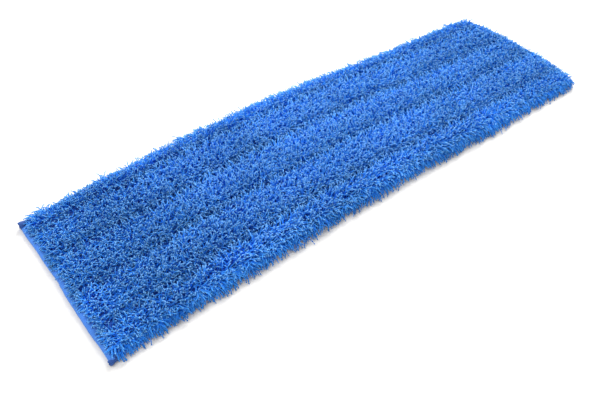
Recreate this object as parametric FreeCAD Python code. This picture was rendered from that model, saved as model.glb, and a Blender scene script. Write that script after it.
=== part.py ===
"""Flat mop pad: a wet-mop refill with a twisted-loop pile, sewn up from cloth layers.

The pad lies with its pile up and its backing down. +X runs along its length, +Y towards its
back edge and +Z up out of the pile. The origin is the middle of the overall box, on the plane
that the underside lies on. From that plane up, the middle of the pad is the backing cloth, the
absorbent core, the ground cloth and the pile. Along the rim the core stops short, the two
cloths come together, and a folded tape binds them. Everything is in millimetres.
"""

import FreeCAD, Part
import os

# Overall size, pile included.
LENGTH = 470.0
WIDTH = 135.0
HEIGHT = 14.0

# The pile hangs out past the bound rim, except at the left end, where the tape is bare.
SIDE_OVERHANG = 1.5
RIGHT_OVERHANG = 3.0
LEFT_OVERHANG = 0.0

# Thickness of each layer.
BACKING = 1.2
CORE = 3.0
GROUND = 1.0
TAPE = 0.7

# The binding tape: how far its folded wings reach in, and where its seam runs.
WING = 6.0
SEAM_INSET = 4.0
CORNER_RADIUS = 3.5

# Inside the wing the core swells the pad to its full thickness along a short slope.
SLOPE_START = 6.5
SLOPE_END = 10.5

# Quilting rows part the pile into lengthwise bands.
FIRST_ROW = 22.0
ROW_PITCH = 31.5
ROW_COUNT = 4
ROW_GAP = 1.0

# Sewing thread, and the channel that it pulls into the underside.
THREAD_RADIUS = 0.25
CHANNEL_WIDTH = 0.6
CHANNEL_DEPTH = 2 * THREAD_RADIUS

# The pile's rounded outline.
BAND_SIDE = 10.0      # height at a quilting row
RIM_CROWN = 13.0      # height midway across the two outer bands
RIM_SHOULDER = 6.5    # height where the pile turns down over the rim
RIM_BOTTOM = 1.5      # lowest loops that hang over the rim
END_ROUND = 12.0      # length of the rounding at each end
END_SHOULDER = 7.5    # height of the pile's end just inside the bare left tape

# The bound rim, and levels that the layers share.
X_LEFT = -LENGTH / 2 + LEFT_OVERHANG
X_RIGHT = LENGTH / 2 - RIGHT_OVERHANG
Y_BACK = WIDTH / 2 - SIDE_OVERHANG
RIM_BACKING_TOP = TAPE + BACKING
RIM_CLOTH_TOP = RIM_BACKING_TOP + GROUND
RIM_TAPE_TOP = RIM_CLOTH_TOP + TAPE
CORE_TOP = BACKING + CORE
GROUND_TOP = CORE_TOP + GROUND
RIM_PILE_BOTTOM = RIM_TAPE_TOP + 2 * THREAD_RADIUS


def box(x0, x1, y0, y1, z0, z1):
    """A box from its lowest corner to its highest."""
    return Part.makeBox(x1 - x0, y1 - y0, z1 - z0, FreeCAD.Vector(x0, y0, z0))


def rim_wire(inset, z):
    """The rim's rounded rectangle, moved in by inset, at height z."""
    up = FreeCAD.Vector(0, 0, 1)
    x0, x1 = X_LEFT + inset + CORNER_RADIUS, X_RIGHT - inset - CORNER_RADIUS
    y0, y1 = -Y_BACK + inset + CORNER_RADIUS, Y_BACK - inset - CORNER_RADIUS
    corners = ((x1, y0, 270), (x1, y1, 0), (x0, y1, 90), (x0, y0, 180))
    arcs = [
        Part.makeCircle(CORNER_RADIUS, FreeCAD.Vector(x, y, z), up, start, start + 90)
        for x, y, start in corners
    ]
    edges = []
    for here, after in zip(arcs, arcs[1:] + arcs[:1]):
        edges.append(here)
        edges.append(Part.makeLine(here.Vertexes[-1].Point, after.Vertexes[0].Point))
    return Part.Wire(edges)


def rim_slab(inset, z0, z1):
    """A flat slab in the rim's outline, moved in by inset, from z0 to z1."""
    face = Part.Face(rim_wire(inset, z0))
    return face.extrude(FreeCAD.Vector(0, 0, z1 - z0))


def window():
    """The pad's middle inside the binding's wings, square at its corners."""
    half_width = Y_BACK - WING
    return box(X_LEFT + WING, X_RIGHT - WING, -half_width, half_width, -1.0, HEIGHT)


def swell(z_rim, z_middle):
    """The slope between the rim's level and the middle's, as a solid with flat ends."""
    rim = rim_wire(SLOPE_START, z_rim)
    middle = rim_wire(SLOPE_END, z_middle)
    return Part.makeLoft([rim, middle], True, True)


def polygon_prism(edges, direction):
    """A flat closed outline of edges, drawn out along direction."""
    return Part.Face(Part.Wire(edges)).extrude(direction)


def save(name, shape):
    """Write one node's STEP file, and say how big it is."""
    shape = shape.removeSplitter()
    if not shape.isValid():
        raise RuntimeError(name + " is not a valid shape")
    shape.exportStep("parts/" + name + ".step")
    size = shape.optimalBoundingBox()
    print(
        f"{name}: {len(shape.Solids)} solid, {size.XLength:.1f} x {size.YLength:.1f}"
        f" x {size.ZLength:.1f} mm, {shape.Volume / 1000:.2f} cm3"
    )


def row_positions():
    """Y of each quilting row, from the front edge back."""
    return [-WIDTH / 2 + FIRST_ROW + row * ROW_PITCH for row in range(ROW_COUNT)]


# --- sewing thread -------------------------------------------------------------------------


def thread(start, end):
    """One straight line of sewing thread."""
    run = end - start
    return Part.makeCylinder(THREAD_RADIUS, run.Length, start, run)


def channel(start, end):
    """The channel that a thread lies in on the underside, cut from the plane z = 0 up."""
    half = CHANNEL_WIDTH / 2
    return box(
        min(start.x, end.x) - half,
        max(start.x, end.x) + half,
        min(start.y, end.y) - half,
        max(start.y, end.y) + half,
        -1.0,
        CHANNEL_DEPTH,
    )


def quilting_lines(z):
    """Both ends of each quilting row, at height z."""
    return [
        (FreeCAD.Vector(X_LEFT + SLOPE_END, y, z), FreeCAD.Vector(X_RIGHT - SLOPE_END, y, z))
        for y in row_positions()
    ]


def seam_lines(z):
    """Both ends of the binding's seam along each side of the rim, at height z."""
    x0, x1 = X_LEFT + SEAM_INSET, X_RIGHT - SEAM_INSET
    y0, y1 = -Y_BACK + SEAM_INSET, Y_BACK - SEAM_INSET
    long_start, long_end = X_LEFT + WING, X_RIGHT - WING
    return {
        "front_edge": (FreeCAD.Vector(long_start, y0, z), FreeCAD.Vector(long_end, y0, z)),
        "back_edge": (FreeCAD.Vector(long_start, y1, z), FreeCAD.Vector(long_end, y1, z)),
        "left_end": (FreeCAD.Vector(x0, y0, z), FreeCAD.Vector(x0, y1, z)),
        "right_end": (FreeCAD.Vector(x1, y0, z), FreeCAD.Vector(x1, y1, z)),
    }


def make_threads():
    """Needle threads lie on top, and bobbin threads in channels on the underside."""
    for row, (start, end) in enumerate(quilting_lines(GROUND_TOP + THREAD_RADIUS), 1):
        save(f"quilting_needle_thread_{row}", thread(start, end))
    for row, (start, end) in enumerate(quilting_lines(THREAD_RADIUS), 1):
        save(f"quilting_bobbin_thread_{row}", thread(start, end))
    for side, (start, end) in seam_lines(RIM_TAPE_TOP + THREAD_RADIUS).items():
        save(f"binding_needle_thread_{side}", thread(start, end))
    for side, (start, end) in seam_lines(THREAD_RADIUS).items():
        save(f"binding_bobbin_thread_{side}", thread(start, end))


# --- cloth layers --------------------------------------------------------------------------


def cloth_inside():
    """Everything under the ground cloth's upper face, rim included."""
    rim = rim_slab(TAPE, TAPE, RIM_CLOTH_TOP)
    return rim.fuse(swell(RIM_CLOTH_TOP, GROUND_TOP))


def make_backing():
    """The loop-faced knit that the mop frame's hook strips grip."""
    rim = rim_slab(TAPE, TAPE, RIM_BACKING_TOP)
    cloth = rim.fuse(swell(TAPE, 0.0)).cut(swell(RIM_BACKING_TOP, BACKING))
    for start, end in quilting_lines(0.0):
        cloth = cloth.cut(channel(start, end))
    save("backing_cloth", cloth)


def make_core():
    """The absorbent interlining between the two cloths."""
    save("absorbent_core", swell(RIM_BACKING_TOP, CORE_TOP).fuse(swell(RIM_BACKING_TOP, BACKING)))


def make_ground_cloth():
    """The knitted ground that the pile loops grow from."""
    above_backing = cloth_inside().cut(rim_slab(TAPE, 0.0, RIM_BACKING_TOP))
    save("ground_cloth", above_backing.cut(swell(RIM_BACKING_TOP, CORE_TOP)))


# --- binding tape --------------------------------------------------------------------------


def make_bindings():
    """One folded tape along each side; the end tapes wrap the four corners."""
    ring = rim_slab(0.0, 0.0, RIM_TAPE_TOP)
    ring = ring.cut(rim_slab(TAPE, TAPE, RIM_CLOTH_TOP))
    ring = ring.cut(window())
    for start, end in seam_lines(0.0).values():
        ring = ring.cut(channel(start, end))
    end_left, end_right = X_LEFT + WING, X_RIGHT - WING
    reach = WIDTH
    top = HEIGHT
    regions = {
        "left_end": box(X_LEFT - 1, end_left, -reach, reach, -1, top),
        "right_end": box(end_right, X_RIGHT + 1, -reach, reach, -1, top),
        "front_edge": box(end_left, end_right, -reach, 0, -1, top),
        "back_edge": box(end_left, end_right, 0, reach, -1, top),
    }
    for side, region in regions.items():
        save(f"binding_{side}", ring.common(region))


# --- pile ----------------------------------------------------------------------------------


def outline_across(y0, y1):
    """The outline of one band of pile across the pad, from y0 to y1."""
    front, back = -WIDTH / 2, WIDTH / 2
    side0 = RIM_SHOULDER if y0 == front else BAND_SIDE
    side1 = RIM_SHOULDER if y1 == back else BAND_SIDE
    crown = RIM_CROWN if y0 == front or y1 == back else HEIGHT
    corners = [
        FreeCAD.Vector(0, y0, side0),
        FreeCAD.Vector(0, y0, RIM_BOTTOM),
        FreeCAD.Vector(0, y1, RIM_BOTTOM),
        FreeCAD.Vector(0, y1, side1),
    ]
    edges = [Part.makeLine(a, b) for a, b in zip(corners, corners[1:])]
    top = FreeCAD.Vector(0, (y0 + y1) / 2, crown)
    edges.append(Part.Arc(corners[-1], top, corners[0]).toShape())
    return edges


def outline_along():
    """The outline of the whole pile along the pad, rounded down at both ends."""
    start = X_LEFT + WING
    end = LENGTH / 2
    left_rise = HEIGHT - END_SHOULDER
    right_rise = HEIGHT - RIM_SHOULDER
    bend = 0.29   # a quarter-turn's midpoint lies this share of the way in from its corner
    left = [
        FreeCAD.Vector(start, 0, END_SHOULDER),
        FreeCAD.Vector(start + bend * END_ROUND, 0, HEIGHT - bend * left_rise),
        FreeCAD.Vector(start + END_ROUND, 0, HEIGHT),
    ]
    right = [
        FreeCAD.Vector(end - END_ROUND, 0, HEIGHT),
        FreeCAD.Vector(end - bend * END_ROUND, 0, HEIGHT - bend * right_rise),
        FreeCAD.Vector(end, 0, RIM_SHOULDER),
    ]
    low_end = FreeCAD.Vector(end, 0, RIM_BOTTOM)
    low_start = FreeCAD.Vector(start, 0, RIM_BOTTOM)
    return [
        Part.Arc(*left).toShape(),
        Part.makeLine(left[-1], right[0]),
        Part.Arc(*right).toShape(),
        Part.makeLine(right[-1], low_end),
        Part.makeLine(low_end, low_start),
        Part.makeLine(low_start, left[0]),
    ]


def make_pile():
    """Bands of twisted-loop pile, parted by the quilting rows."""
    front = FreeCAD.Vector(0, -WIDTH, 0)
    along = polygon_prism(outline_along(), FreeCAD.Vector(0, 2 * WIDTH, 0))
    along.translate(front)
    rim_ring = rim_slab(0.0, 0.0, RIM_PILE_BOTTOM).cut(window())
    under = cloth_inside().fuse(rim_ring)
    rows = row_positions()
    half_gap = ROW_GAP / 2
    starts = [-WIDTH / 2] + [y + half_gap for y in rows]
    ends = [y - half_gap for y in rows] + [WIDTH / 2]
    for band, (y0, y1) in enumerate(zip(starts, ends), 1):
        across = polygon_prism(outline_across(y0, y1), FreeCAD.Vector(2 * LENGTH, 0, 0))
        across.translate(FreeCAD.Vector(-LENGTH, 0, 0))
        save(f"pile_band_{band}", across.common(along).cut(under))


os.makedirs("parts", exist_ok=True)
make_backing()
make_core()
make_ground_cloth()
make_pile()
make_bindings()
make_threads()
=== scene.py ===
"""Looks of the flat mop pad: twisted-loop pile, ground cloth, core, backing, binding tape and stitches.

Every visible piece is built as a mesh here, in metres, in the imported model's frame. The shapes are
first laid out on the flat pad that the model holds, and lie() then settles them as the limp pad
lies: bowed a little towards its back edge, with uneven ends.
"""

import bpy
import numpy as np
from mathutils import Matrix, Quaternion, Vector


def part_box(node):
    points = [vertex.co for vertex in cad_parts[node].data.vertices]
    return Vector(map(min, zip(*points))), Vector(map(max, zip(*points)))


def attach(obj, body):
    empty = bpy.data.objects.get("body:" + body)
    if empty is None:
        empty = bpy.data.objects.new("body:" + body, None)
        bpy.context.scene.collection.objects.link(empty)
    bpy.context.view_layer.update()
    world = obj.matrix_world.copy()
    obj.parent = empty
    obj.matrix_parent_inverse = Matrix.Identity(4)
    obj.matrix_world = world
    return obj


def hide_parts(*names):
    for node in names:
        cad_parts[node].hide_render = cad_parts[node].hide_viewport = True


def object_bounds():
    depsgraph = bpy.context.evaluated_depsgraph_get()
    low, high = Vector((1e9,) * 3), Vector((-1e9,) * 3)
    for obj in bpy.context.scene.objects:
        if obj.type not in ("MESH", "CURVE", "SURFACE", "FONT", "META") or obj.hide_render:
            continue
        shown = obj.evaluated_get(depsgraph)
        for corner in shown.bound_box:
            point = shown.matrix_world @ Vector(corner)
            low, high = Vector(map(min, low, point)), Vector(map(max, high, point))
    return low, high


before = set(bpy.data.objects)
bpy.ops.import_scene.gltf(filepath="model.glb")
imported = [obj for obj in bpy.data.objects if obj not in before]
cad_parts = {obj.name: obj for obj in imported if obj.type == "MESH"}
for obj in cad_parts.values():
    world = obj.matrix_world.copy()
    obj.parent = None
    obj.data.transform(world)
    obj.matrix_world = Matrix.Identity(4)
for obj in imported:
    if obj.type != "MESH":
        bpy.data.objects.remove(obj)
cad_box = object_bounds()

MM = 0.001

# --- sizes read from the frame -------------------------------------------------------------

PAD_LOW, PAD_HIGH = (np.array(corner) for corner in cad_box)
BANDS = sorted(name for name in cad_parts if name.startswith("pile_band_"))
SIDES = ("left_end", "right_end", "front_edge", "back_edge")

left_low, left_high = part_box("binding_left_end")
right_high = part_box("binding_right_end")[1]
backing_low, backing_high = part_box("backing_cloth")
ground_low, ground_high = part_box("ground_cloth")
core_low, core_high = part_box("absorbent_core")
seam_low, seam_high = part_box("binding_needle_thread_left_end")

X_LEFT, X_RIGHT = left_low.x, right_high.x          # the bound rim's ends
Y_BACK = left_high.y                                # half the bound rim's width
WING = left_high.x - left_low.x                     # reach of the tape's folded wings
TAPE = backing_low.x - left_low.x                   # thickness of the tape
RIM_TOP = left_high.z                               # top of the tape
GROUND_TOP = ground_high.z                          # top of the ground cloth mid-pad
RIM_GROUND_TOP = RIM_TOP - TAPE                     # and under the tape
BACKING_THICK = core_low.z                          # the backing mid-pad
THREAD_RADIUS = (seam_high.x - seam_low.x) / 2
SEAM_INSET = (seam_low.x + seam_high.x) / 2 - X_LEFT
FLAT_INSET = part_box("quilting_needle_thread_1")[0].x - X_LEFT   # where the full thickness starts
ROWS = [
    sum(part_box(f"quilting_needle_thread_{row}")[side].y for side in (0, 1)) / 2
    for row in (1, 2, 3, 4)
]
X_MIDDLE = (PAD_LOW[0] + PAD_HIGH[0]) / 2
HALF_LENGTH = (PAD_HIGH[0] - PAD_LOW[0]) / 2

# --- how the pad lies ----------------------------------------------------------------------

BOW = 2.8 * MM              # the long edges' sideways bow at mid-length
LIFT = 0.8 * MM             # the underside's lift at mid-length
BACK_BULGE = 2.5 * MM       # the back edge's own bow, left of mid-length
BULGE_X = -60 * MM
BULGE_REACH = 90 * MM
RIGHT_SKEW = 4.0 * MM       # how far the right end has been pulled towards the front
SKEW_START, SKEW_END = -10 * MM, 150 * MM
LEFT_SPREAD = 2.8 * MM      # how far the left end is pulled outwards
LEFT_SKEW = 2.8 * MM        # and how far it has been pulled towards the front
RIGHT_BULGE = 5.5 * MM      # how far the right end bulges at mid-width
RIGHT_CORNERS = 2.2 * MM    # and how far its corners draw in
END_REACH = 30 * MM         # how far in from an end its own shape reaches
END_WAVE = 0.35 * MM        # height of the waves along the left end's edge
WAVE_LENGTHS = (83 * MM, 31 * MM)

# --- the pile ------------------------------------------------------------------------------

LOOP_SPACING = 1.46 * MM
LOOP_LENGTH = 10.8 * MM
STRAND_RADIUS = 0.255 * MM
TWIST_RADIUS = 0.215 * MM
TWIST_PITCH = 5.6 * MM
LOOP_STRAY = 0.34              # how far a root strays from its place, as a share of the spacing
ROOT_DEPTH = 0.4 * MM          # of the roots, under the ground cloth's upper face
FIELD_MARGIN = WING + 0.4 * MM  # bare ground cloth inside the rim
ROOT_TILT, MOST_ROOT_TILT = 0.30, 0.9            # a loop's tilt at its root, as a share of its lean
TIP_TILT, MOST_TIP_TILT = 1.70, 1.9              # and at its tip; at most so many radians
COMMON_LEAN = (0.16, -0.12)    # radians, of all the loops, along x and y
LEAN_SPREAD = 0.55             # radians, between neighbouring loops
LEAN_PATCH = 0.40              # radians, between patches of loops
LEAN_SIZE = 22 * MM            # breadth of those patches
PATCH_GRID = 64                # random values along each side of a patch noise
OUTWARD_LEAN = 0.8             # radians, of the loops nearest the rim
LEFT_LEAN = 0.55               # the same, at the left end
RIM_REACH = 6 * MM             # how far in from the rim loops lean outwards
ROW_LEAN = 0.30                # radians, away from a quilting row
ROW_REACH = 6 * MM             # how far from a quilting row loops are shorter
ROW_SHORTENING = 0.22
LEFT_PILE, LEFT_PILE_REACH = 0.46, 130 * MM      # share of full height at the left end
RIGHT_PILE, RIGHT_PILE_REACH = 0.62, 240 * MM    # and at the right end, and where it's full
LAID_DROOP = 0.85              # radians that a loop with no height of its own lies down
ROOT_DROOP = 0.3               # share of that at its root
CURL = 1.3                     # radians that a loop turns sideways over its length
LAID_LENGTH = 0.40             # share of full length of a loop with no height of its own
LENGTH_PATCH, LENGTH_SPREAD = 0.05, 0.06         # how far lengths differ in patches, and loop by loop
TONE = 0.60                    # paleness of the pile, from 0 to 1, at the left end
INLAND_PAINTED_LIGHT = 0.09             # and how much paler it is away from there, as painted light
TONE_PATCH, TONE_SPOT = 0.15, 0.085              # how far broad and small patches change it
BAND_PAINTED_LIGHT = 0.54               # how far it rises over a band, from front to back: painted light towards the band's back, painted shade towards its front
ROW_PAINTED_SHADE = 0.25                # how far it drops along a quilting row, as painted shade
BAND_SHADE_SHIFT = 4 * MM            # how far in front of a quilting row the next band's painted light and shade starts
ROW_SHADE_REACH = 3.5 * MM      # half the width of the darkest line of painted shade along a row
FRINGE_SPACING = 1.15 * MM     # of the longer loops that hang over the rim
FRINGE_LAYERS = {"left_end": 4, "right_end": 6, "front_edge": 9, "back_edge": 5}
TUFT = 6 * MM                  # breadth of the tufts that the fringe gathers in
FRINGE_NEAR, FRINGE_DEPTH = 0.5 * MM, 2.6 * MM   # where it is rooted, in from the tape
FRINGE_OUTER = 1.4             # above 1, more of its loops are in the outer layers
FRINGE_LEAN, FRINGE_LEAN_GROWTH = 0.80, 0.65     # radians, innermost, and how much more outermost
FRINGE_LENGTH, FRINGE_GROWTH = 8.3 * MM, 6.0 * MM
LEFT_LENGTH, LEFT_GROWTH = 4.7 * MM, 1.8 * MM    # the same, of the short fringe at the left end
LEFT_DROOP = 0.3               # radians, outermost, of the same
TUFT_TURN, TUFT_LEAN, TUFT_REACH = 0.6, 0.30, 0.14    # how far tufts differ: radians, radians, share
TURN_SPREAD, FRINGE_SPREAD, REACH_SPREAD = 0.6, 0.18, 0.09      # and the loops in a tuft
FRONT_PAINTED_SHADE, FRONT_TIP_SHADE = 0.50, 0.28               # painted shade: how much darker the front edge's outermost loops are, over all and at their tips
BARE_CORNER = 3 * MM           # length of the back rim beside the left end that it leaves bare
STEPS = 8                      # points along each strand of a loop
TUBE_SIDES = 4
SECTIONS_ALONG = 3
SECTION_LOOPS = 1000           # most loops in one piece
CELL_MARGIN = 0.08             # empty border of each loop's cell in the baked map
FILAMENTS_ALONG = 300.0        # radians that the filaments' relief turns along a yarn
FILAMENTS_AROUND = 25.13       # and around it, which is four filaments

# --- cloth, tape and thread ----------------------------------------------------------------

GROUND_THICK = 0.8 * MM
CORE_GAP = 0.1 * MM            # between the core and the backing; twice that over the core
GROUND_STEP, CORE_STEP, BACKING_STEP = 2 * MM, 3 * MM, 1.4 * MM
CHANNEL_DEPTH = 0.7 * MM       # how far a quilting row draws the backing up
CHANNEL_REACH = 1.1 * MM
TAPE_STEP = 0.8 * MM
WING_POINTS, NOSE_POINTS = 5, 9                  # of the folded tape's outline
CORNER_ROUNDING = {"left_end": 1.5 * MM, "right_end": 3.5 * MM}
SLOW_PUCKERS, QUICK_PUCKERS = 14, 60             # along each tape
SLOW_PUCKER, QUICK_PUCKER, WING_PUCKER = 0.08, 0.06, 0.12       # mm, in, in and up
SEAM_REACH = 0.9 * MM          # how far beside its seam the tape is pinched
SEAM_PINCH, STITCH_PINCH = 0.10, 0.16            # how much thinner it is there, and more at stitches
ROLL_TURNS = 1.55              # of a long tape's cut end
ROLL_START = 0.42              # its innermost radius, as a share of its outermost
ROLL_HALF_THICK = 0.42 * TAPE
ROLL_POINTS, ROLL_STATIONS = 22, 9               # around it and along it
ROLL_SWELL = 0.14              # how far its radius changes along it
ROLL_FRAY = 0.35 * MM          # how far its cut edge strays
STITCH_PITCH = 3.2 * MM
THREAD_SIDES = 6
ROW_BOBBIN_HEIGHT = 0.75 * MM  # of each thread's line, above the plane that the pad lies on
SEAM_BOBBIN_HEIGHT = 0.35 * MM
SEAM_NEEDLE_HEIGHT = RIM_TOP - 0.12 * MM

# --- camera --------------------------------------------------------------------------------

LENS = 36.34
CAMERA_PLACE = (-0.2733, -0.2597, 0.3243)
CAMERA_TARGET = (-0.0668, -0.0322, 0.0)
CAMERA_ROLL = np.radians(4.13)

# --- light ---------------------------------------------------------------------------------

SKY_STRENGTH = 1.04            # white light from all round
SOFTBOXES = (                  # name, place, size and power in watts
    ("back_softbox", (0.80, 0.80, 0.90), 0.9, 29.0),
    ("top_softbox", (-0.5, 0.2, 1.3), 0.8, 6.4),
)


def patches(x, y, size, seed):
    """Smooth noise from -1 to 1, in patches about size across."""
    grid = np.random.default_rng(seed).uniform(-1, 1, (PATCH_GRID, PATCH_GRID))
    u = (np.asarray(x) - PAD_LOW[0]) / size + 1
    v = (np.asarray(y) - PAD_LOW[1]) / size + 1
    column, line = np.floor(u).astype(int), np.floor(v).astype(int)
    fu, fv = u - column, v - line
    fu, fv = fu * fu * (3 - 2 * fu), fv * fv * (3 - 2 * fv)
    column, line = column % (PATCH_GRID - 1), line % (PATCH_GRID - 1)
    near = grid[line, column] * (1 - fu) + grid[line, column + 1] * fu
    far = grid[line + 1, column] * (1 - fu) + grid[line + 1, column + 1] * fu
    return near * (1 - fv) + far * fv


def ramp(value, start, end):
    """A smooth step from 0 at start to 1 at end."""
    share = np.clip((np.asarray(value) - start) / (end - start), 0, 1)
    return share * share * (3 - 2 * share)


def lie(points):
    """Flat-pad points, moved to where they are on the pad as it lies."""
    points = np.array(points, float)
    x, y = points[..., 0], points[..., 1]
    along = np.clip((x - X_MIDDLE) / HALF_LENGTH, -1, 1)
    hump = 1 - along**2
    near_left = np.exp(-np.maximum(x - X_LEFT, 0) / END_REACH)
    near_right = np.exp(-np.maximum(X_RIGHT - x, 0) / END_REACH)
    long_wave, short_wave = WAVE_LENGTHS
    wave = np.sin(y * 2 * np.pi / long_wave + 0.6) + 0.5 * np.sin(y * 2 * np.pi / short_wave)
    across = np.clip(y / Y_BACK, -1, 1)
    bulge = np.exp(-(((x - BULGE_X) / BULGE_REACH) ** 2)) * (1 + across) / 2
    settled = points.copy()
    settled[..., 0] += near_left * (END_WAVE * wave - LEFT_SPREAD)
    settled[..., 0] += near_right * ((RIGHT_BULGE + RIGHT_CORNERS) * (1 - across**2) - RIGHT_CORNERS)
    settled[..., 1] += BOW * hump + BACK_BULGE * bulge
    settled[..., 1] -= RIGHT_SKEW * ramp(x, SKEW_START, SKEW_END) + LEFT_SKEW * np.sqrt(near_left)
    settled[..., 2] = np.maximum(points[..., 2] + LIFT * hump**2, 0)
    return settled


# --- meshes --------------------------------------------------------------------------------


def unit(vectors):
    """Vectors scaled to length 1."""
    return vectors / np.maximum(np.linalg.norm(vectors, axis=-1, keepdims=True), 1e-12)


def make_piece(name, points, faces, material, replaced):
    """A mesh object on the pad. faces is a list of arrays, each with one row per face."""
    mesh = bpy.data.meshes.new(name)
    mesh.vertices.add(len(points))
    mesh.vertices.foreach_set("co", lie(points).astype(np.float32).ravel())
    corners = np.concatenate([block.ravel() for block in faces]).astype(np.int32)
    sizes = np.concatenate([np.full(len(block), block.shape[1]) for block in faces])
    starts = np.concatenate([[0], np.cumsum(sizes)[:-1]]).astype(np.int32)
    mesh.loops.add(len(corners))
    mesh.loops.foreach_set("vertex_index", corners)
    mesh.polygons.add(len(sizes))
    mesh.polygons.foreach_set("loop_start", starts)
    mesh.polygons.foreach_set("use_smooth", np.ones(len(sizes), bool))
    mesh.update(calc_edges=True)
    mesh.materials.append(material)
    piece = bpy.data.objects.new(name, mesh)
    bpy.context.scene.collection.objects.link(piece)
    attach(piece, "root")
    if replaced:
        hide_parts(*replaced)
    return piece


def tube_rings(path, side, radius, sides):
    """Rings of points about each path. path and side are (tubes, points, 3)."""
    forward = unit(np.gradient(path, axis=1))
    first = unit(side - (side * forward).sum(-1, keepdims=True) * forward)
    second = np.cross(forward, first)
    turn = np.arange(sides) * 2 * np.pi / sides
    spokes = np.cos(turn)[:, None] * first[:, :, None] + np.sin(turn)[:, None] * second[:, :, None]
    radius = np.broadcast_to(np.asarray(radius, float), path.shape[:2])
    return path[:, :, None] + radius[:, :, None, None] * spokes


def tube_faces(tubes, rings, sides):
    """Side faces and end caps of closed tubes whose points are numbered ring by ring."""
    start = (np.arange(tubes) * rings * sides)[:, None, None]
    ring = (np.arange(rings - 1) * sides)[None, :, None]
    here = np.arange(sides)[None, None, :]
    after = (here + 1) % sides
    quads = np.stack(
        [start + ring + here, start + ring + after,
         start + ring + sides + after, start + ring + sides + here],
        axis=-1,
    ).reshape(-1, 4)
    first = (np.arange(tubes) * rings * sides)[:, None] + np.arange(sides)[::-1][None]
    last = (np.arange(tubes) * rings * sides)[:, None] + (rings - 1) * sides + np.arange(sides)[None]
    return [quads, np.concatenate([first, last])]


def grid_faces(columns, lines):
    """Quads of a grid whose points are numbered line by line along each column."""
    column, line = np.meshgrid(np.arange(columns - 1), np.arange(lines - 1), indexing="ij")
    corner = (column * lines + line).ravel()
    return np.stack([corner, corner + lines, corner + lines + 1, corner + 1], axis=-1)


def shell_faces(columns, lines):
    """Faces of a closed shell between two grids of points, the first grid's facing backwards."""
    count = columns * lines
    skin = grid_faces(columns, lines)
    column = np.arange(columns - 1) * lines
    line = np.arange(lines - 1)
    first_line = np.stack([column, column + lines, column + lines + count, column + count], -1)
    last_line = np.stack([column, column + count, column + lines + count, column + lines], -1)
    first_column = np.stack([line, line + count, line + 1 + count, line + 1], -1)
    last_column = np.stack([line, line + 1, line + 1 + count, line + count], -1)
    edges = [first_line, last_line + lines - 1, first_column, last_column + count - lines]
    return [np.concatenate([skin[:, ::-1], skin + count, *edges])]


# --- twisted pile loops --------------------------------------------------------------------


def loop_paths(loops):
    """Each loop's yarn: up one strand, over the tip and down the other, twisted together."""
    share = np.linspace(0, 1, STEPS)
    tilt = loops["tilt_root"][:, None] + (loops["tilt_tip"] - loops["tilt_root"])[:, None] * share
    heading = loops["heading"][:, None] + loops["curl"][:, None] * share
    sine, cosine = np.sin(tilt), np.cos(tilt)
    zero = np.zeros_like(sine)
    forward = np.stack([sine * np.cos(heading), sine * np.sin(heading), cosine], -1)
    across = np.stack([cosine * np.cos(heading), cosine * np.sin(heading), -sine], -1)
    side = np.stack([-np.sin(heading), np.cos(heading), zero], -1)
    step = (forward[:, 1:] + forward[:, :-1]) / 2 * loops["length"][:, None, None] / (STEPS - 1)
    centre = np.concatenate([np.zeros_like(step[:, :1]), np.cumsum(step, axis=1)], axis=1)
    centre = centre + loops["root"][:, None]
    turns = loops["length"] / TWIST_PITCH
    phase = loops["spin"][:, None] + 2 * np.pi * turns[:, None] * share
    radial = np.cos(phase)[..., None] * across + np.sin(phase)[..., None] * side
    over = np.radians([60, 120])[None, :, None]
    tip_side = np.cos(over) * radial[:, -1:] + np.sin(over) * forward[:, -1:]
    path = np.concatenate(
        [centre + TWIST_RADIUS * radial,
         centre[:, -1:] + TWIST_RADIUS * tip_side,
         (centre - TWIST_RADIUS * radial)[:, ::-1]],
        axis=1,
    )
    sides = np.concatenate([radial, tip_side, -radial[:, ::-1]], axis=1)
    along = np.concatenate([share, [1, 1], share[::-1]])
    return path, sides, along


def pile_height(x):
    """How much of its full height the pile has at x: it is thin near the bound ends."""
    from_left = LEFT_PILE + (1 - LEFT_PILE) * ramp(x - X_LEFT, 0, LEFT_PILE_REACH)
    from_right = RIGHT_PILE + (1 - RIGHT_PILE) * ramp(X_RIGHT - x, 0, RIGHT_PILE_REACH)
    return np.minimum(from_left, from_right)


def ground_height(x, y):
    """Height of the ground cloth's upper face."""
    inset = np.minimum.reduce([x - X_LEFT, X_RIGHT - x, y + Y_BACK, Y_BACK - y])
    return RIM_GROUND_TOP + (GROUND_TOP - RIM_GROUND_TOP) * ramp(inset, WING, FLAT_INSET)


def scatter(x0, x1, y0, y1, draw):
    """Roots in rows with a little unevenness, from x0 to x1 and y0 to y1."""
    columns, lines = round((x1 - x0) / LOOP_SPACING), round((y1 - y0) / LOOP_SPACING)
    column, line = np.meshgrid(np.arange(columns), np.arange(lines), indexing="ij")
    column, line = column.ravel() + 0.5 * (line.ravel() % 2), line.ravel()
    count = len(column)
    x = x0 + (column + 0.25 + draw.uniform(-LOOP_STRAY, LOOP_STRAY, count)) * (x1 - x0) / columns
    y = y0 + (line + 0.5 + draw.uniform(-LOOP_STRAY, LOOP_STRAY, count)) * (y1 - y0) / lines
    return x, y


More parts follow.
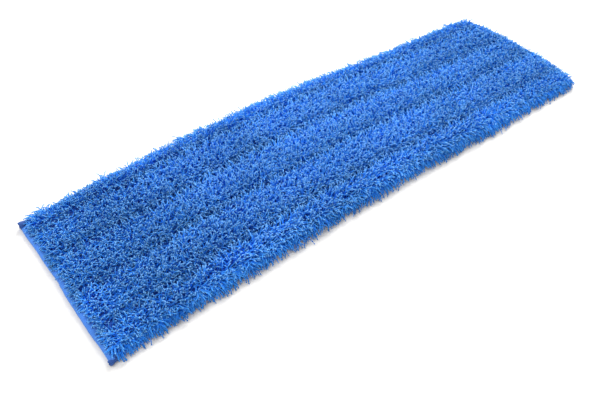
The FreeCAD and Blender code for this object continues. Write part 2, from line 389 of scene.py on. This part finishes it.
def pile_tone_and_shade(x, y):
    """How pale the pile is, from 0 to 1: in patches of its own, with painted shade along each quilting
    row and behind it, painted light towards the back of each band, and painted light towards the right.
    """
    edges = np.array([-Y_BACK, *ROWS, Y_BACK]) - BAND_SHADE_SHIFT
    band = np.clip(np.searchsorted(edges, y) - 1, 0, len(edges) - 2)
    share = (y - edges[band]) / (edges[band + 1] - edges[band])
    from_row = np.min([np.abs(y - row) for row in ROWS], axis=0)
    patchy = TONE_PATCH * patches(x, y, 40 * MM, 14) + TONE_SPOT * patches(x, y, 14 * MM, 15)
    # Painted light and shade: each band lighter towards its back, darker along and behind each quilting
    # row, and the pile lighter towards the right.
    painted_light_and_shade = BAND_PAINTED_LIGHT * (share - 0.5) - ROW_PAINTED_SHADE * np.exp(-((from_row / ROW_SHADE_REACH) ** 2))
    return TONE + patchy + painted_light_and_shade + INLAND_PAINTED_LIGHT * ramp(x, X_LEFT, 50 * MM)


def loop_set(x, y, lean_x, lean_y, length, draw, droop):
    """What each loop needs to be drawn, from its root, its lean and droop in radians and its length."""
    lean = np.hypot(lean_x, lean_y)
    count = len(x)
    return {
        "root": np.stack([x, y, ground_height(x, y) - ROOT_DEPTH], -1),
        "length": length,
        "heading": np.arctan2(lean_y, lean_x),
        "tilt_root": np.minimum(ROOT_TILT * lean, MOST_ROOT_TILT) + ROOT_DROOP * droop,
        "tilt_tip": np.minimum(TIP_TILT * lean, MOST_TIP_TILT) + droop,
        "curl": draw.normal(0, CURL, count),
        "spin": draw.uniform(0, 2 * np.pi, count),
        "random": draw.uniform(0, 1, count),
        # colour level: the pile's own patches, with painted light and shade from the bands and rows
        "tone_and_shade": pile_tone_and_shade(x, y),
        "pale": np.ones(count),
    # how far up each loop the painted tip highlight reaches
    }


def plant_field(y0, y1, draw):
    """The upright loops of one band, from y0 to y1."""
    y0, y1 = max(y0, -Y_BACK + FIELD_MARGIN), min(y1, Y_BACK - FIELD_MARGIN)
    x, y = scatter(X_LEFT + FIELD_MARGIN, X_RIGHT - FIELD_MARGIN, y0, y1, draw)
    count = len(x)
    nearest = np.argmin([np.abs(y - row) for row in ROWS], axis=0)
    from_row = y - np.array(ROWS)[nearest]
    by_row = 1 - ramp(np.abs(from_row), 0, ROW_REACH)

    # Loops lean together in patches, away from the quilting rows, and outwards at the rim.
    patch_x, patch_y = (LEAN_PATCH * patches(x, y, LEAN_SIZE, seed) for seed in (11, 12))
    lean_x = COMMON_LEAN[0] + patch_x + draw.normal(0, LEAN_SPREAD, count)
    lean_y = COMMON_LEAN[1] + patch_y + draw.normal(0, LEAN_SPREAD, count)
    lean_y += ROW_LEAN * np.sign(from_row) * by_row
    by_back, by_front, by_left, by_right = (
        1 - ramp(distance - WING, 0, RIM_REACH)
        for distance in (Y_BACK - y, y + Y_BACK, x - X_LEFT, X_RIGHT - x)
    )
    lean_y += OUTWARD_LEAN * (by_back - by_front)
    lean_x += OUTWARD_LEAN * by_right - LEFT_LEAN * by_left
    height = pile_height(x)
    length = LOOP_LENGTH * (LAID_LENGTH + (1 - LAID_LENGTH) * height) * (1 - ROW_SHORTENING * by_row)
    length *= 1 + LENGTH_PATCH * patches(x, y, 30 * MM, 13) + draw.normal(0, LENGTH_SPREAD, count)
    return loop_set(x, y, lean_x, lean_y, length, draw, LAID_DROOP * (1 - height))


def plant_fringe(side, draw):
    """Loops along one side of the rim, which lean out over the binding and hang down past it."""
    span = side_length(side)
    start, end = (WING, span - WING) if side.endswith("end") else (0.0, span)
    if side == "back_edge":
        start = BARE_CORNER
    count = int((end - start) / FRINGE_SPACING) * FRINGE_LAYERS[side]
    run = draw.uniform(start, end, count)
    layer = 1 - (1 - draw.uniform(0, 1, count)) ** FRINGE_OUTER
    inset = WING + FRINGE_NEAR + FRINGE_DEPTH * (1 - layer) * draw.uniform(0.5, 1.0, count)
    level = np.zeros(count)
    flat = along_side(side, inset, run, level)
    outward = along_side(side, inset - 1, run, level) - flat
    x = np.clip(flat[:, 0], X_LEFT + FIELD_MARGIN, X_RIGHT - FIELD_MARGIN)

    # Neighbouring loops gather in tufts, which point and reach a little differently.
    tuft_turn, tuft_lean, tuft_reach = (patches(x, flat[:, 1], TUFT, seed) for seed in (21, 22, 23))
    heading = np.arctan2(outward[:, 1], outward[:, 0]) + TUFT_TURN * tuft_turn
    heading += draw.normal(0, TURN_SPREAD, count)
    lean = FRINGE_LEAN + FRINGE_LEAN_GROWTH * layer + TUFT_LEAN * tuft_lean
    lean += draw.normal(0, FRINGE_SPREAD, count)
    length = (FRINGE_LENGTH + FRINGE_GROWTH * layer) * (0.75 + 0.25 * pile_height(x))
    droop = LAID_DROOP * layer
    if side == "left_end":
        length, droop = LEFT_LENGTH + LEFT_GROWTH * layer, LEFT_DROOP * layer
    length = length * (1 + TUFT_REACH * tuft_reach + draw.normal(0, REACH_SPREAD, count))
    loops = loop_set(x, flat[:, 1], lean * np.cos(heading), lean * np.sin(heading), length, draw, droop)
    # Painted shade on the front edge's overhanging loops: the outer layers darker, and their tips less
    # pale.
    if side == "front_edge":
        loops["tone_and_shade"] = loops["tone_and_shade"] - FRONT_PAINTED_SHADE * layer
        loops["pale"] = 1 - FRONT_TIP_SHADE * layer
    return loops


def plant_band(band, low, high):
    """All the loops of one band."""
    draw = np.random.default_rng(100 + band)
    sets = [plant_field(low.y, high.y, draw)]
    if band == 0:
        sets.append(plant_fringe("front_edge", draw))
    if band == len(BANDS) - 1:
        sets.append(plant_fringe("back_edge", draw))
    edges = [-np.inf, *ROWS, np.inf]
    for seed, side in enumerate(("left_end", "right_end"), 98):
        end_loops = plant_fringe(side, np.random.default_rng(seed))
        y = end_loops["root"][:, 1]
        inside = (y > edges[band]) & (y <= edges[band + 1])
        sets.append({key: values[inside] for key, values in end_loops.items()})
    return {key: np.concatenate([part[key] for part in sets]) for key in sets[0]}


def sections(loops):
    """Index arrays that split a band's loops into pieces, across the band and then along it."""
    count = len(loops["length"])
    across = int(np.ceil(count / (SECTIONS_ALONG * SECTION_LOOPS)))
    by_y = np.argsort(loops["root"][:, 1], kind="stable")
    for strip in np.array_split(by_y, across):
        by_x = strip[np.argsort(loops["root"][strip, 0], kind="stable")]
        yield from np.array_split(by_x, SECTIONS_ALONG)


def paint_loops(mesh, along, loops, rings):
    """Store how far up its loop each ring is, which sets its painted shade and highlight, a number per
    loop and the loop's colour level with its painted light and shade, and lay out the maps.
    """
    count = len(loops["random"])
    colours = np.ones((count, rings, TUBE_SIDES, 4), np.float32)
    colours[..., 0] = along[None, :, None] * loops["pale"][:, None, None]
    colours[..., 1] = loops["random"][:, None, None]
    # the loop's colour level, with its painted light and shade
    colours[..., 2] = loops["tone_and_shade"][:, None, None]
    layer = mesh.attributes.new("yarn", "FLOAT_COLOR", "POINT")
    layer.data.foreach_set("color", colours.ravel())

    ring = np.arange(rings - 1)[:, None]
    side = np.arange(TUBE_SIDES)[None, :]
    ring, side = np.broadcast_arrays(ring, side)
    u = np.stack([ring, ring, ring + 1, ring + 1], -1)
    v = np.stack([side, side + 1, side + 1, side], -1)
    tube = np.stack([u / (rings - 1), v / TUBE_SIDES], -1).reshape(1, -1, 2)
    caps = np.zeros((2 * count * TUBE_SIDES, 2))
    strand = np.concatenate([np.repeat(tube, count, axis=0).reshape(-1, 2), caps])
    mesh.uv_layers.new(name="yarn_map").data.foreach_set("uv", strand.astype(np.float32).ravel())

    # One cell of the baked map for each loop.
    cells = int(np.ceil(np.sqrt(count)))
    corner = np.stack([np.arange(count) % cells, np.arange(count) // cells], -1)
    inner = CELL_MARGIN + (1 - 2 * CELL_MARGIN) * tube
    sides = (corner[:, None] + inner).reshape(-1, 2)
    caps = np.tile(np.repeat(corner + CELL_MARGIN, TUBE_SIDES, axis=0), (2, 1))
    baked = np.concatenate([sides, caps]) / cells
    mesh.uv_layers.new(name="OFBake").data.foreach_set("uv", baked.astype(np.float32).ravel())


def make_pile(material):
    """Every band's loops, in sections that are small enough to handle."""
    for band, node in enumerate(BANDS):
        loops = plant_band(band, *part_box(node))
        for number, chosen in enumerate(sections(loops), 1):
            part = {key: values[chosen] for key, values in loops.items()}
            path, side, along = loop_paths(part)
            points = tube_rings(path, side, STRAND_RADIUS, TUBE_SIDES)
            faces = tube_faces(len(path), path.shape[1], TUBE_SIDES)
            name = f"{node}_loops_{number}"
            replaced = [node] if number == 1 else []
            piece = make_piece(name, points.reshape(-1, 3), faces, material, replaced)
            paint_loops(piece.data, along, part, path.shape[1])


# --- cloth layers --------------------------------------------------------------------------


def cloth_slab(name, low, high, top, bottom, step, material, replaced):
    """A closed sheet between two height functions of the inset from the rim, x and y."""
    x = np.linspace(low.x, high.x, int((high.x - low.x) / step) + 2)
    y = np.linspace(low.y, high.y, int((high.y - low.y) / step) + 2)
    gx, gy = np.meshgrid(x, y, indexing="ij")
    inset = np.minimum.reduce([gx - X_LEFT, X_RIGHT - gx, gy + Y_BACK, Y_BACK - gy])
    upper = np.stack([gx, gy, top(inset, gx, gy)], -1).reshape(-1, 3)
    lower = np.stack([gx, gy, bottom(inset, gx, gy)], -1).reshape(-1, 3)
    count = len(upper)
    number = np.arange(count).reshape(len(x), len(y))
    rim = np.concatenate([number[:-1, 0], number[-1, :-1], number[:0:-1, -1], number[0, :0:-1]])
    after = np.roll(rim, -1)
    walls = np.stack([rim, rim + count, after + count, after], -1)
    faces = grid_faces(len(x), len(y))
    quads = np.concatenate([faces, faces[:, ::-1] + count, walls])
    return make_piece(name, np.concatenate([upper, lower]), [quads], material, replaced)


def underside(inset, x, y):
    """Height of the backing's lower face, drawn up where thread pulls it in."""
    rise = backing_low.z + TAPE * (1 - ramp(inset, WING, FLAT_INSET))
    for row in ROWS:
        rise = rise + CHANNEL_DEPTH * np.exp(-(((y - row) / CHANNEL_REACH) ** 2))
    return rise


def make_layers(knit, felt, loop_knit):
    """The ground cloth, the core and the backing."""
    cloth = cloth_slab(
        "ground_cloth_knit", ground_low, ground_high,
        lambda inset, x, y: ground_height(x, y),
        lambda inset, x, y: ground_height(x, y) - GROUND_THICK,
        GROUND_STEP, knit, ["ground_cloth"],
    )
    core = cloth_slab(
        "absorbent_core_felt", core_low, core_high,
        lambda inset, x, y: ground_height(x, y) - GROUND_THICK - 2 * CORE_GAP,
        lambda inset, x, y: underside(inset, x, y) + BACKING_THICK + CORE_GAP,
        CORE_STEP, felt, ["absorbent_core"],
    )
    backing = cloth_slab(
        "backing_cloth_knit", backing_low, backing_high,
        lambda inset, x, y: underside(inset, x, y) + BACKING_THICK,
        underside,
        BACKING_STEP, loop_knit, ["backing_cloth"],
    )


# --- binding tape --------------------------------------------------------------------------


def tape_section():
    """The folded tape's outer and inner outlines, as inset and height, wing edge to wing edge."""
    half = RIM_TOP / 2
    turn = np.radians(np.linspace(90, 270, NOSE_POINTS))
    nose = np.stack([half + half * np.cos(turn), half + half * np.sin(turn)], -1)
    wing = np.linspace(WING, half, WING_POINTS, endpoint=False)
    top = np.stack([wing, np.full(WING_POINTS, RIM_TOP)], -1)
    bottom = np.stack([wing[::-1], np.zeros(WING_POINTS)], -1)
    outer = np.concatenate([top, nose, bottom])
    inner = outer.copy()
    inner[WING_POINTS:-WING_POINTS] = half + (nose - half) * (1 - TAPE / half)
    inner[:WING_POINTS, 1] -= TAPE
    inner[-WING_POINTS:, 1] += TAPE
    return outer, inner


def along_side(side, inset, run, height):
    """Flat-pad points on one side of the rim: inset from it, run along it from its start."""
    if side == "left_end":
        return np.stack([X_LEFT + inset, -Y_BACK + run, height], -1)
    if side == "right_end":
        return np.stack([X_RIGHT - inset, Y_BACK - run, height], -1)
    if side == "front_edge":
        return np.stack([X_RIGHT - WING - run, -Y_BACK + inset, height], -1)
    return np.stack([X_LEFT + WING + run, Y_BACK - inset, height], -1)


def side_length(side):
    """Length of one side's tape."""
    return 2 * Y_BACK if side.endswith("end") else X_RIGHT - X_LEFT - 2 * WING


def uneven(run, knots, draw):
    """Random values at evenly spaced knots, and what lies between them along a run."""
    return np.interp(run, np.linspace(0, run[-1], knots), draw.normal(0, 1, knots))


def make_tape(side, seed):
    """One side's folded tape, with the slight puckers that its seam draws in it."""
    length = side_length(side)
    stations = int(length / TAPE_STEP) + 1
    run = np.linspace(0, length, stations)
    draw = np.random.default_rng(seed)
    slow = uneven(run, SLOW_PUCKERS, draw)[:, None]
    quick = uneven(run, QUICK_PUCKERS, draw)[:, None]
    rounding = CORNER_ROUNDING.get(side, 0.0)
    past_corner = np.maximum(rounding - np.minimum(run, length - run), 0)
    drawn_in = (rounding - np.sqrt(np.maximum(rounding**2 - past_corner**2, 0)))[:, None]
    outer, inner = tape_section()
    middle = RIM_TOP / 2
    shells = []
    for outline, place in ((inner, np.clip(run, TAPE, length - TAPE)), (outer, run)):
        place, inset = np.meshgrid(place, outline[:, 0], indexing="ij")
        height = np.broadcast_to(outline[:, 1], inset.shape)
        free = 1 - inset / WING
        seam = np.exp(-(((inset - SEAM_INSET) / SEAM_REACH) ** 2))
        inset = inset + (drawn_in + MM * (SLOW_PUCKER * slow + QUICK_PUCKER * quick)) * free
        pinch = 0.5 + 0.5 * np.cos(2 * np.pi * place / STITCH_PITCH)
        height = middle + (height - middle) * (1 - seam * (SEAM_PINCH + STITCH_PINCH * pinch))
        height = height + WING_PUCKER * MM * slow * free * (height > middle)
        shells.append(along_side(side, inset, place, height))
    points = np.concatenate([shell.reshape(-1, 3) for shell in shells])
    return points, shell_faces(stations, len(outer)), length


def make_rolled_end(name, corner, length, radius, material):
    """A long edge's tape where it is cut at the left end: rolled up, and open towards the left."""
    turns = np.linspace(0, ROLL_TURNS, ROLL_POINTS)
    angle = 2 * np.pi * turns + 0.5
    middle = radius * (ROLL_START + (1 - ROLL_START) * turns / ROLL_TURNS) - TAPE / 2
    stations = np.linspace(0, 1, ROLL_STATIONS)
    bend = 1 + ROLL_SWELL * np.sin(stations * 7.0)[:, None]
    ragged = corner[0] + length * stations[:, None] + ROLL_FRAY * np.sin(angle * 1.5)
    shells = []
    for offset in (ROLL_HALF_THICK, -ROLL_HALF_THICK):
        spread = (middle + offset) * bend
        y = corner[1] + spread * np.cos(angle)
        z = corner[2] + spread * np.sin(angle)
        shells.append(np.stack([ragged, y, z], -1).reshape(-1, 3))
    faces = shell_faces(len(stations), len(turns))
    return make_piece(name, np.concatenate(shells), faces, material, [])


def make_bindings(material, cut_end):
    """The tapes of all four sides, and the rolled ends of the two long ones."""
    half = RIM_TOP / 2
    # The rolled ends take a darker copy of the tape's material: painted shade in their hollows.
    rolls = [
        make_rolled_end(
            "binding_back_edge_rolled_end", (X_LEFT - 0.4 * MM, Y_BACK - 2.6 * MM, half + 1.3 * MM),
            7 * MM, 3.0 * MM, cut_end,
        ),
        make_rolled_end(
            "binding_front_edge_rolled_end", (X_LEFT - 0.6 * MM, -Y_BACK + 0.6 * MM, half + 0.2 * MM),
            5 * MM, 1.9 * MM, cut_end,
        ),
    ]
    for number, side in enumerate(SIDES):
        points, faces, length = make_tape(side, 40 + number)
        tape = make_piece(
            f"binding_{side}_tape", points, faces, material, [f"binding_{side}"]
        )


# --- stitches ------------------------------------------------------------------------------


def stitch_line(start, end, up):
    """A row of lockstitches from start to end, each a short arch of thread dipping into the cloth."""
    start, end = np.array(start, float), np.array(end, float)
    count = max(int(np.linalg.norm(end - start) / STITCH_PITCH), 1)
    shares = np.array([0.06, 0.12, 0.28, 0.5, 0.72, 0.88, 0.94])
    dips = np.array([-0.55, -0.10, 0.12, 0.20, 0.12, -0.10, -0.55]) * MM
    place = (np.arange(count)[:, None] + shares) / count
    path = start + place[..., None] * (end - start)
    path[..., 2] += up * dips
    side = np.broadcast_to(unit(np.cross(end - start, [0, 0, 1])), path.shape)
    return path, side


def make_stitches(name, start, end, up, material, replaced):
    """One piece that holds every stitch of a row."""
    path, side = stitch_line(start, end, up)
    points = tube_rings(path, side, THREAD_RADIUS, THREAD_SIDES).reshape(-1, 3)
    faces = tube_faces(len(path), path.shape[1], THREAD_SIDES)
    return make_piece(name, points, faces, material, replaced)


def make_sewing(material):
    """The quilting rows and the binding's seams, above and below."""
    x0, x1 = X_LEFT + FLAT_INSET, X_RIGHT - FLAT_INSET
    for row, y in enumerate(ROWS, 1):
        for place, node, z, up in (
            ("top", f"quilting_needle_thread_{row}", GROUND_TOP, 1),
            ("underside", f"quilting_bobbin_thread_{row}", ROW_BOBBIN_HEIGHT, -1),
        ):
            make_stitches(
                f"quilting_row_{row}_{place}", (x0, y, z), (x1, y, z), up, material, [node]
            )
    for side in SIDES:
        length = side_length(side)
        margin = SEAM_INSET if side.endswith("end") else 0.0
        inset = np.array([SEAM_INSET, SEAM_INSET])
        run = np.array([margin, length - margin])
        for place, node, z, up in (
            ("top", f"binding_needle_thread_{side}", SEAM_NEEDLE_HEIGHT, 1),
            ("underside", f"binding_bobbin_thread_{side}", SEAM_BOBBIN_HEIGHT, -1),
        ):
            start, end = along_side(side, inset, run, np.array([z, z]))
            make_stitches(f"binding_seam_{side}_{place}", start, end, up, material, [node])


# --- materials -----------------------------------------------------------------------------


class Shader:
    """A material's node tree, with short ways to add and join its nodes."""

    def __init__(self, name):
        self.material = bpy.data.materials.new(name)
        self.material.use_nodes = True
        self.tree = self.material.node_tree
        self.surface = self.tree.nodes["Principled BSDF"]

    def node(self, kind, inputs=(), **settings):
        """A node with its settings and inputs; an input that is a socket is joined."""
        node = self.tree.nodes.new(kind)
        for key, value in settings.items():
            setattr(node, key, value)
        for key, value in dict(inputs).items():
            if isinstance(value, bpy.types.NodeSocket):
                self.tree.links.new(value, node.inputs[key])
            else:
                node.inputs[key].default_value = value
        return node

    def math(self, operation, first, second=0.0):
        """A number worked out from one or two others."""
        return self.node("ShaderNodeMath", {0: first, 1: second}, operation=operation).outputs[0]

    def noise(self, scale, detail):
        """Noise from 0 to 1, on the object's own coordinates."""
        place = self.node("ShaderNodeTexCoord").outputs["Object"]
        inputs = {"Vector": place, "Scale": scale, "Detail": detail}
        return self.node("ShaderNodeTexNoise", inputs).outputs["Fac"]

    def colours(self, factor, stops):
        """Colours along a ramp, from (place, (r, g, b)) pairs."""
        node = self.node("ShaderNodeValToRGB", {"Fac": factor})
        elements = node.color_ramp.elements
        while len(elements) < len(stops):
            elements.new(0.5)
        for element, (place, colour) in zip(elements, stops):
            element.position = place
            element.color = (*colour, 1.0)
        return node.outputs["Color"]

    def brightness(self, colour, factor):
        """A colour, made brighter or darker."""
        node = self.node("ShaderNodeHueSaturation", {"Color": colour, "Value": factor})
        return node.outputs["Color"]

    def between(self, factor, low, high):
        """A factor from 0 to 1, moved to run from low to high."""
        inputs = {"Value": factor, "To Min": low, "To Max": high}
        return self.node("ShaderNodeMapRange", inputs).outputs["Result"]

    def bump(self, height, distance, strength):
        """Relief from a height factor."""
        inputs = {"Height": height, "Distance": distance, "Strength": strength}
        self.join("Normal", self.node("ShaderNodeBump", inputs).outputs["Normal"])

    def join(self, key, socket):
        """Feed one of the surface's inputs."""
        self.tree.links.new(socket, self.surface.inputs[key])

    def sheen(self, weight, roughness, tint):
        """Soft light off the fibre ends."""
        self.surface.inputs["Sheen Weight"].default_value = weight
        self.surface.inputs["Sheen Roughness"].default_value = roughness
        self.surface.inputs["Sheen Tint"].default_value = (*tint, 1.0)


def yarn_material():
    """Split-fibre yarn: deep blue at the root, pale at the tip, with twisted filaments. The deep root is
    painted shade and the pale tip is a painted highlight.
    """
    shader = Shader("pile_yarn")
    stored = shader.node("ShaderNodeAttribute", attribute_name="yarn")
    split = shader.node("ShaderNodeSeparateColor", {"Color": stored.outputs["Color"]})
    along, each, tone_and_shade = (split.outputs[key] for key in ("Red", "Green", "Blue"))
    fibres = shader.noise(900.0, 2.0)
    height = shader.math("ADD", along, shader.between(fibres, -0.12, 0.12))
    # Painted shade and highlight: the colour darkens towards each loop's root and turns pale towards its
    # tip.
    colour = shader.colours(
        height,
        [(0.0, (0.003, 0.160, 0.90)), (0.40, (0.009, 0.203, 0.92)),
         (0.80, (0.051, 0.297, 0.80)), (1.0, (0.172, 0.428, 0.82))],
    )
    own = shader.between(each, 0.85, 1.12)
    # Each loop's broad level: patches of its own, plus the painted light and shade of the bands, rows,
    # front fringe and right part.
    broad_tone_and_shade = shader.between(tone_and_shade, 0.68, 1.20)
    value = shader.math("MULTIPLY", own, broad_tone_and_shade)
    shader.join("Base Color", shader.brightness(colour, value))
    map_node = shader.node("ShaderNodeUVMap", uv_map="yarn_map")
    place = shader.node("ShaderNodeSeparateXYZ", {"Vector": map_node.outputs["UV"]})
    twist = shader.math("MULTIPLY", place.outputs["X"], FILAMENTS_ALONG)
    around = shader.math("MULTIPLY", place.outputs["Y"], FILAMENTS_AROUND)
    filaments = shader.math("SINE", shader.math("ADD", twist, around))
    relief = shader.math("ADD", shader.between(filaments, 0.0, 0.5), fibres)
    shader.bump(relief, 0.12 * MM, 0.6)
    shader.join("Roughness", shader.between(fibres, 0.70, 0.95))
    shader.sheen(0.25, 0.45, (0.30, 0.62, 1.0))
    shader.surface.inputs["Specular IOR Level"].default_value = 0.08
    return shader.material


def knit_material(name, dark, light, scale, depth, sheen):
    """Knitted cloth: courses of small stitches, fibre noise and uneven dye."""
    shader = Shader(name)
    place = shader.node("ShaderNodeTexCoord").outputs["Object"]
    wave = {"Vector": place, "Scale": scale, "Distortion": 1.2, "Detail": 1.0, "Detail Scale": 2.0}
    courses = shader.node("ShaderNodeTexWave", wave, bands_direction="X").outputs["Fac"]
    wales = shader.node("ShaderNodeTexWave", wave, bands_direction="Y").outputs["Fac"]
    cells = shader.math("MULTIPLY", courses, wales)
    fibres = shader.noise(2200.0, 3.0)
    dye = shader.noise(45.0, 2.0)
    mixed = shader.math("ADD", shader.math("MULTIPLY", cells, 0.6), shader.math("MULTIPLY", fibres, 0.4))
    colour = shader.colours(mixed, [(0.15, dark), (0.75, light)])
    shader.join("Base Color", shader.brightness(colour, shader.between(dye, 0.85, 1.15)))
    shader.join("Roughness", shader.between(fibres, 0.7, 0.95))
    shader.bump(mixed, depth, 0.8)
    shader.sheen(sheen, 0.4, (0.6, 0.78, 1.0))
    return shader.material


def floor_material():
    """A plain pale sweep."""
    shader = Shader("floor_paper")
    shader.surface.inputs["Base Color"].default_value = (0.70, 0.69, 0.675, 1.0)
    shader.surface.inputs["Roughness"].default_value = 0.9
    shader.surface.inputs["Specular IOR Level"].default_value = 0.1
    return shader.material


# --- stage ---------------------------------------------------------------------------------


def make_stage():
    """The floor just under the pad, the light and the camera."""
    bpy.ops.mesh.primitive_plane_add(size=8.0, location=(0, 0, -0.1 * MM))
    floor = bpy.context.object
    floor.name = "floor"
    floor.data.materials.append(floor_material())

    world = bpy.data.worlds.new("studio")
    world.use_nodes = True
    world.node_tree.nodes["Background"].inputs["Color"].default_value = (1.0, 1.0, 1.0, 1.0)
    world.node_tree.nodes["Background"].inputs["Strength"].default_value = SKY_STRENGTH
    bpy.context.scene.world = world

    for name, place, size, power in SOFTBOXES:
        light = bpy.data.lights.new(name, "AREA")
        light.shape = "SQUARE"
        light.size = size
        light.energy = power
        lamp = bpy.data.objects.new(name, light)
        lamp.location = place
        aim = Vector((0, 0, 0)) - Vector(place)
        lamp.rotation_euler = aim.to_track_quat("-Z", "Y").to_euler()
        bpy.context.scene.collection.objects.link(lamp)

    camera = bpy.data.objects.new("camera", bpy.data.cameras.new("camera"))
    camera.data.lens = LENS
    camera.data.sensor_width = 36.0
    camera.location = CAMERA_PLACE
    aim = Vector(CAMERA_TARGET) - Vector(CAMERA_PLACE)
    roll = Quaternion((0, 0, 1), CAMERA_ROLL)
    camera.rotation_euler = (aim.to_track_quat("-Z", "Y") @ roll).to_euler()
    bpy.context.scene.collection.objects.link(camera)
    bpy.context.scene.camera = camera
    bpy.context.scene.view_settings.view_transform = "Standard"


make_stage()
make_pile(yarn_material())
make_layers(
    knit_material("ground_knit", (0.002, 0.055, 0.36), (0.006, 0.095, 0.52), 260.0, 0.25 * MM, 0.2),
    knit_material("core_felt", (0.62, 0.62, 0.60), (0.80, 0.80, 0.78), 90.0, 0.3 * MM, 0.1),
    knit_material("backing_knit", (0.03, 0.10, 0.30), (0.12, 0.28, 0.62), 220.0, 0.4 * MM, 0.4),
)
make_bindings(
    knit_material("binding_tape", (0.028, 0.15, 0.54), (0.060, 0.23, 0.72), 420.0, 0.12 * MM, 0.3),
    # A darker copy of the tape's material: painted shade for the rolled ends.
    knit_material("binding_cut_end", (0.006, 0.04, 0.18), (0.02, 0.10, 0.40), 420.0, 0.12 * MM, 0.2),
)
make_sewing(
    knit_material("sewing_thread", (0.02, 0.10, 0.46), (0.06, 0.22, 0.74), 1500.0, 0.06 * MM, 0.2)
)
